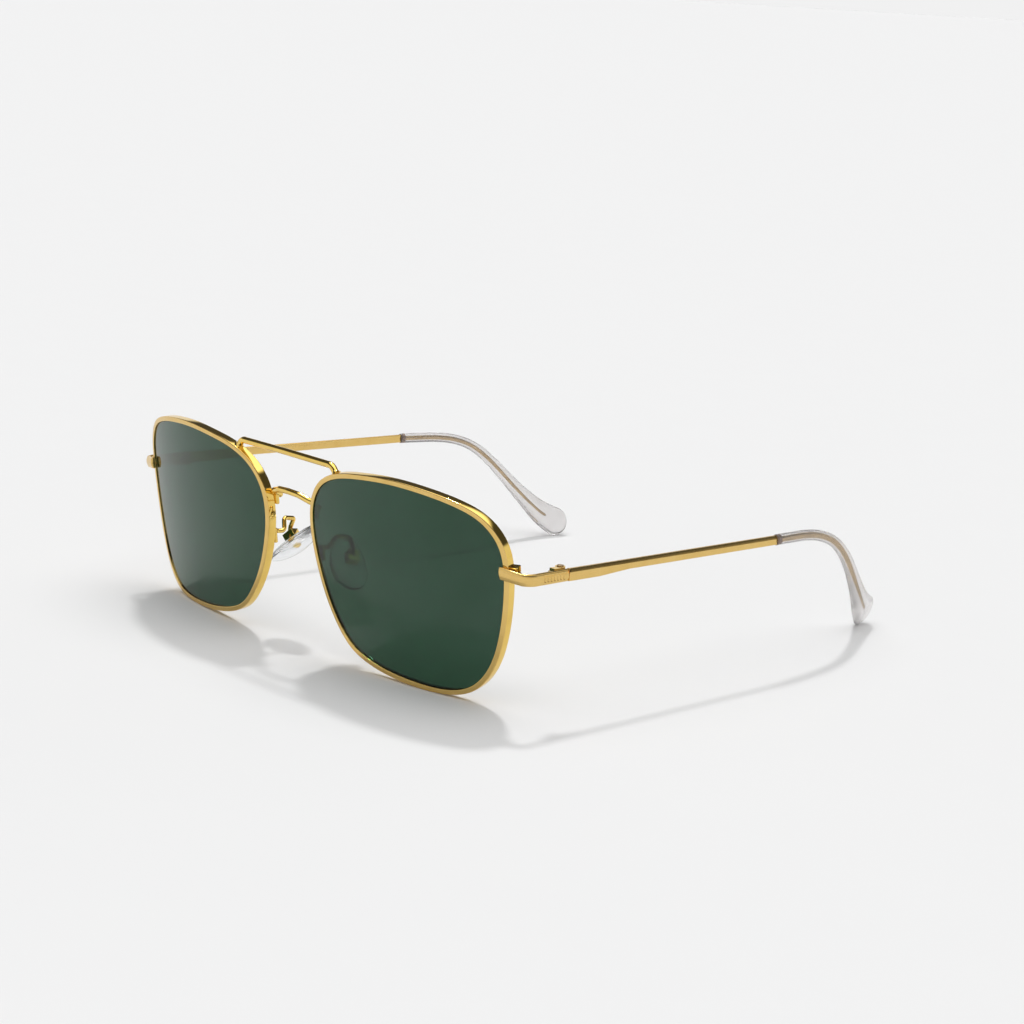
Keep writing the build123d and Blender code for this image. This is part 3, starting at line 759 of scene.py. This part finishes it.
core_end = np.searchsorted(tip_travel, travelled(np.array(TIP_STATIONS)[:CORE_LAST + 1, :3])[-1])
core_rings = []
for k in range(core_end):
    share = k / core_end
    high, wide = [a + (b - a) * share for a, b in zip(*CORE_SIZES)]
    core_rings.append(oval(tip_line[k, :3], tip_ways[k], high, wide, sides=28))
for a in (30, 60, 80):
    share = math.radians(a)
    position = tip_line[core_end, :3] + tip_ways[core_end] * CORE_CAP_LENGTH * math.sin(share)
    high, wide = [size * math.cos(share) for size in CORE_SIZES[1]]
    core_rings.append(oval(position, tip_ways[core_end], high, wide, sides=28))
both_sides("core_wire", *skin(core_rings), [SCREW_GOLD], TEMPLE_BODY, "screw_gold", sharp=50)

socket_rings = []
for k in range(TIP_STEPS):
    if SOCKET_SPAN[0] < tip_travel[k] < SOCKET_SPAN[1]:
        high, wide = tip_line[k, 3:5] - SOCKET_INSET
        socket_rings.append(oval(tip_line[k, :3], tip_ways[k], high, wide))
both_sides("socket", *skin(socket_rings), [SOCKET_BROWN], TEMPLE_BODY, "screw_gold", sharp=50)


# ------------------------------------------------------------------ wires and their solder feet
def grow_of(point):
    """How far a point lies outside the lens opening, measured in the lens plane."""
    flat = np.array([(point - LENS_MIDDLE) @ FACE_X, (point - LENS_MIDDLE) @ FACE_Y])
    gaps = flat - outline
    k = int(np.argmin((gaps ** 2).sum(1)))
    return float(gaps[k] @ outward[k])


def mirrored(run):
    """The left half of a run, which starts at x = 0, joined to its mirror image."""
    return np.concatenate([run[::-1] * (-1, 1, 1), run[1:]])


def solder_collar(position, way, radius, spread, height):
    """Flared skirt of solder at the end of a wire; way points into the wire."""
    across = unit(np.cross(way, NO_WIRE_WAY))
    circle = ellipse(across, np.cross(way, across), 40)
    rings = []
    for k in range(13):
        share = k / 12
        size = radius * 0.96 + spread * (1 - share) ** 2.4
        rings.append(position + way * height * share + circle * size)
    return np.array(rings)


bar_run = thickened(bent_run(BAR_POINTS, BAR_TURN_R))
bar_run = np.array([p for p in bar_run if p[0] < BAR_STRAIGHT_X or grow_of(p) > RIM_WIDTH - BAR_SINK])
bar_surface = min((p for p in bar_run if p[0] > BAR_STRAIGHT_X), key=lambda p: abs(grow_of(p) - RIM_WIDTH))
bar_way = unit(bar_run[-2] - bar_run[-1])
bar_shells = [skin(wire_rings(mirrored(bar_run), BAR_R))[:2]]
for sign in (1, -1):
    way = bar_way * (sign, 1, 1)
    collar = solder_collar(bar_surface * (sign, 1, 1) - way * COLLAR_OVERLAP, way, BAR_R, *BAR_COLLAR)
    bar_shells.append(skin(collar)[:2])
brow_bar = make_object("brow_bar_wire", *joined(*bar_shells), [GOLD_POLISHED], sharp=60)
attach(brow_bar, "front")
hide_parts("brow_bar")

arch_run = thickened(bent_run(ARCH_POINTS, ARCH_TURN_R))
foot_origin, foot_x, foot_y, foot_z = face_spot(*BRIDGE_FOOT_SPOT, -RIM_DEPTH - BRIDGE_FOOT_SIZE[2] / 2)
foot_vertices, foot_faces = block(foot_origin, foot_x, foot_y, foot_z, BRIDGE_FOOT_SIZE, FOOT_ROUND)
arch_shells = [skin(wire_rings(mirrored(arch_run), ARCH_R))[:2], (foot_vertices, foot_faces),
               (foot_vertices * (-1, 1, 1), foot_faces)]
nose_bridge = make_object("nose_bridge_wire", *joined(*arch_shells), [GOLD_POLISHED], sharp=60)
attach(nose_bridge, "front")
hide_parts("nose_bridge")

# ------------------------------------------------------------------ nose pad arms and pads
pad_z = unit(PAD_FACE)
pad_up = unit(PAD_LONG - pad_z * (PAD_LONG @ pad_z))
pad_x = np.cross(pad_up, pad_z)
pad_y = np.cross(pad_z, pad_x)
arm_origin, arm_x, arm_y, arm_z = face_spot(*ARM_FOOT_SPOT, -RIM_DEPTH - ARM_FOOT_SIZE[2] / 2)
arm_start = face_spot(ARM_FOOT_SPOT[0], ARM_FOOT_SPOT[1] + ARM_START_RISE,
                      -RIM_DEPTH - ARM_FOOT_SIZE[2] / 2)[0]
arm_end = PAD_MIDDLE + pad_z * (PAD_BOX_BOTTOM + ARM_END_SINK)
arm_run = thickened(bent_run([arm_start, *ARM_POINTS, arm_end], ARM_TURN_R))
arm_vertices, arm_faces = joined(
    skin(wire_rings(arm_run, ARM_R, 32))[:2],
    block(arm_origin, arm_x, arm_y, arm_z, ARM_FOOT_SIZE, FOOT_ROUND),
    skin(solder_collar(arm_run[2], unit(arm_run[6] - arm_run[2]), ARM_R, *ARM_COLLAR))[:2],
)
both_sides("pad_arm_wire", arm_vertices, arm_faces, None, [GOLD_POLISHED], FRONT_BODY, "gold_polished",
           "pad_arm", sharp=60)

drop = []
for angle in 2 * math.pi * np.arange(12) / 12:
    drop.append((PAD_WIDTH / 2 * math.sin(angle) * (1 - PAD_TAPER * math.cos(angle)),
                 PAD_LENGTH / 2 * math.cos(angle)))
drop_line, drop_out = ring_spline(drop, PAD_STEPS)


def dome(flat):
    """Height of the pad's soft front face over its own plane."""
    return PAD_FRONT - PAD_DOME_R + np.sqrt(PAD_DOME_R ** 2 - (flat ** 2).sum(1))


def pad_points(flat, height):
    """Points over the pad's own plane, at a height towards the nose."""
    return PAD_MIDDLE + flat[:, :1] * pad_x + flat[:, 1:] * pad_y + height[:, None] * pad_z


edge_half = (dome(drop_line) - PAD_BACK) / 2
inner_edge = drop_line - drop_out * edge_half[:, None]
pad_rings = []
for share in np.linspace(0.04, 0.96, 22):
    pad_rings.append(pad_points(inner_edge * share, dome(inner_edge * share)))
for a in range(90, -91, -15):
    share = math.radians(a)
    flat = inner_edge + drop_out * edge_half[:, None] * math.cos(share)
    high = (dome(inner_edge) + PAD_BACK) / 2 + (dome(inner_edge) - PAD_BACK) / 2 * math.sin(share)
    pad_rings.append(pad_points(flat, high))
for share in np.linspace(0.96, 0.04, 14):
    pad_rings.append(pad_points(inner_edge * share, np.full(PAD_STEPS, PAD_BACK)))
both_sides("nose_pad", *skin(pad_rings), [CLEAR_SILICONE], PAD_BODY, "clear_silicone", "nose_pad", sharp=60)

# ------------------------------------------------------------------ small parts that keep their own meshes
# Material and edge radius of each.
SMALL_PARTS = {
    "closing_block_upper": (GOLD_POLISHED, 0.12),
    "closing_block_lower": (GOLD_POLISHED, 0.12),
    "rim_screw": (SCREW_GOLD, 0.05),
    "hinge_front": (GOLD_POLISHED, 0.09),
    "hinge_rear": (GOLD_POLISHED, 0.09),
    "hinge_screw": (SCREW_GOLD, 0.05),
    "pad_box": (GOLD_POLISHED, 0.08),
    "pad_screw": (SCREW_GOLD, 0.04),
    "pad_insert": (GOLD_POLISHED, 0.06),
}
for part, (material, radius) in SMALL_PARTS.items():
    for side in ("left", "right"):
        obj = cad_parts[f"{side}_{part}"]
        obj.data.materials.clear()
        obj.data.materials.append(material)
        weld = obj.modifiers.new("weld", "WELD")
        weld.merge_threshold = 1e-6
        bevel = obj.modifiers.new("bevel", "BEVEL")
        bevel.width = radius / 1000
        bevel.segments = 3
        bevel.limit_method = "ANGLE"
        bevel.angle_limit = math.radians(35)

# ------------------------------------------------------------------ floor, light and camera
floor_mesh = bpy.data.meshes.new("floor")
floor_corners = [(x * FLOOR_HALF, y * FLOOR_HALF, 0) for x, y in ((-1, -1), (1, -1), (1, 1), (-1, 1))]
floor_mesh.from_pydata(floor_corners, [], [(0, 1, 2, 3)])
floor = bpy.data.objects.new("floor", floor_mesh)
bpy.context.scene.collection.objects.link(floor)
paper, nodes, links = new_material("paper_floor")
shader = nodes["Principled BSDF"]
shader.inputs["Roughness"].default_value = 0.95
shader.inputs["Specular IOR Level"].default_value = 0.0
cloudy_tone(nodes, links, 40, 2, (0, 1), (0.797, 0.797, 0.799), (0.803, 0.803, 0.803))
floor_mesh.materials.append(paper)

sun_data = bpy.data.lights.new("key", "SUN")
sun_data.energy = SUN_STRENGTH
sun_data.angle = SUN_ANGLE
sun = bpy.data.objects.new("key", sun_data)
sun.rotation_mode = "QUATERNION"
sun.rotation_quaternion = Vector(unit(SUN_WAY)).to_track_quat("Z", "Y")
bpy.context.scene.collection.objects.link(sun)

world = bpy.data.worlds.new("studio")
bpy.context.scene.world = world
world.use_nodes = True
nodes = world.node_tree.nodes
links = world.node_tree.links
nodes.clear()
coords = nodes.new("ShaderNodeTexCoord")
height = nodes.new("ShaderNodeSeparateXYZ")
links.new(coords.outputs["Generated"], height.inputs["Vector"])


def step_node(source, low, high, start, end):
    """Smooth change from one value to another between two heights of the sky."""
    node = nodes.new("ShaderNodeMapRange")
    node.interpolation_type = "SMOOTHSTEP"
    node.inputs["From Min"].default_value = low
    node.inputs["From Max"].default_value = high
    node.inputs["To Min"].default_value = start
    node.inputs["To Max"].default_value = end
    links.new(source, node.inputs["Value"])
    return node.outputs["Result"]


def maths(operation, a, b):
    """Math node over two inputs, each a number or another node's output."""
    node = nodes.new("ShaderNodeMath")
    node.operation = operation
    for socket, value in zip(node.inputs, (a, b)):
        if isinstance(value, (int, float)):
            socket.default_value = value
        else:
            links.new(value, socket)
    return node.outputs["Value"]


# The sky is bright at the horizon and overhead, with a dark ring between them.
ring_start = step_node(height.outputs["Z"], 0.26, 0.36, 0, 1)
ring_end = step_node(height.outputs["Z"], 0.72, 0.82, 1, 0)
brightness = step_node(height.outputs["Z"], 0.72, 0.84, SKY_BRIGHT, SKY_TOP)
outside_ring = maths("SUBTRACT", 1.0, maths("MULTIPLY", ring_start, ring_end))
strength = maths("ADD", maths("MULTIPLY", brightness, outside_ring), SKY_LEAST)
backdrop = nodes.new("ShaderNodeBackground")
backdrop.inputs["Color"].default_value = (1, 1, 1, 1)
links.new(strength, backdrop.inputs["Strength"])
output = nodes.new("ShaderNodeOutputWorld")
links.new(backdrop.outputs["Background"], output.inputs["Surface"])
bpy.context.scene.view_settings.view_transform = "Standard"
bpy.context.scene.view_settings.look = "None"

camera_data = bpy.data.cameras.new("camera")
camera_data.sensor_width = SENSOR_WIDTH
camera_data.lens = LENS_LENGTH
camera_data.clip_start = 0.01
camera_data.clip_end = 200
camera = bpy.data.objects.new("camera", camera_data)
bpy.context.scene.collection.objects.link(camera)
back = np.array([math.sin(AZIMUTH) * math.cos(ELEVATION), -math.cos(AZIMUTH) * math.cos(ELEVATION),
                 math.sin(ELEVATION)])
level_right = np.array([math.cos(AZIMUTH), math.sin(AZIMUTH), 0.0])
level_up = np.cross(back, level_right)
right = math.cos(ROLL) * level_right + math.sin(ROLL) * level_up
up = math.cos(ROLL) * level_up - math.sin(ROLL) * level_right
spot = to_row(AIM + back * DISTANCE + right * SLIDE[0] + up * SLIDE[1])
camera.matrix_world = Matrix((
    (right[0], up[0], back[0], spot[0]),
    (right[1], up[1], back[1], spot[1]),
    (right[2], up[2], back[2], spot[2]),
    (0, 0, 0, 1),
))
bpy.context.scene.camera = camera
